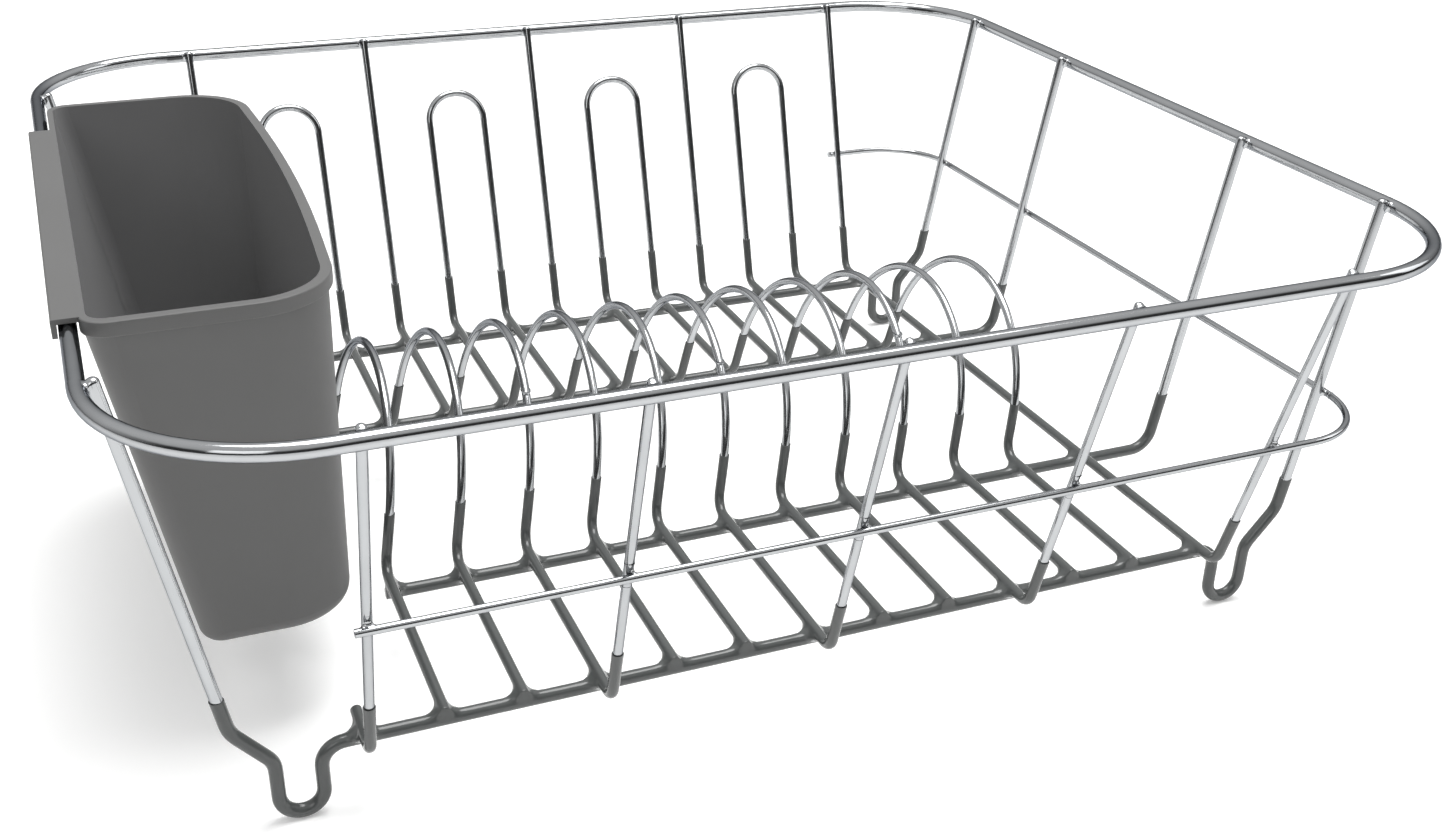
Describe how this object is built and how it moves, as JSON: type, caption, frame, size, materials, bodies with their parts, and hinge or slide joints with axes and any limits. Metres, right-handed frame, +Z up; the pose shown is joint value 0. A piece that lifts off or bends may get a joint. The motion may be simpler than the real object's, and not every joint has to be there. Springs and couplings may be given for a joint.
{
  "type": "dish drying rack",
  "caption": "Chromed wire dish rack on four wire feet, with plate arches, tall loops at the back, a dipped vinyl floor and a lift-off cutlery holder.",
  "frame": {"origin": "on the table, midway between the four feet", "axes": "+X along the length, away from the cutlery holder; +Y from the open front to the tall loops at the back; +Z up"},
  "size_m": [0.4667, 0.4158, 0.1676],
  "materials": {
    "chrome_wire": "bright chrome plate on steel wire",
    "grey_vinyl": "semi-gloss dipped vinyl",
    "holder_plastic": "moulded, fine matte"
  },
  "bodies": {
    "rack": {"rim_wire": "chrome_wire", "guard_rail_wire": "chrome_wire", "front_frame_wire": "chrome_wire", "front_runner_wire": "chrome_wire", "left_front_post_wire": "chrome_wire", "rear_frame_wire": "chrome_wire", "rear_runner_wire": "chrome_wire", "left_rear_post_wire": "chrome_wire", "plate_loop_1_wire": "chrome_wire", "plate_loop_2_wire": "chrome_wire", "plate_loop_3_wire": "chrome_wire", "plate_loop_4_wire": "chrome_wire", "cross_1_wire": "chrome_wire", "cross_2_wire": "chrome_wire", "cross_3_wire": "chrome_wire", "end_cross_wire": "chrome_wire", "front_frame_vinyl": "grey_vinyl", "front_runner_vinyl": "grey_vinyl", "left_front_post_vinyl": "grey_vinyl", "rear_frame_vinyl": "grey_vinyl", "rear_runner_vinyl": "grey_vinyl", "left_rear_post_vinyl": "grey_vinyl", "plate_loop_1_vinyl": "grey_vinyl", "plate_loop_2_vinyl": "grey_vinyl", "plate_loop_3_vinyl": "grey_vinyl", "plate_loop_4_vinyl": "grey_vinyl", "cross_1_vinyl": "grey_vinyl", "cross_2_vinyl": "grey_vinyl", "cross_3_vinyl": "grey_vinyl", "end_cross_vinyl": "grey_vinyl"},
    "holder": {"cutlery_holder": "holder_plastic"}
  },
  "joints": [
    {"name": "holder_lift", "type": "slide", "parent": "rack", "child": "holder", "axis": [0, 0, 1], "range_m": [0, 0.15]}
  ]
}
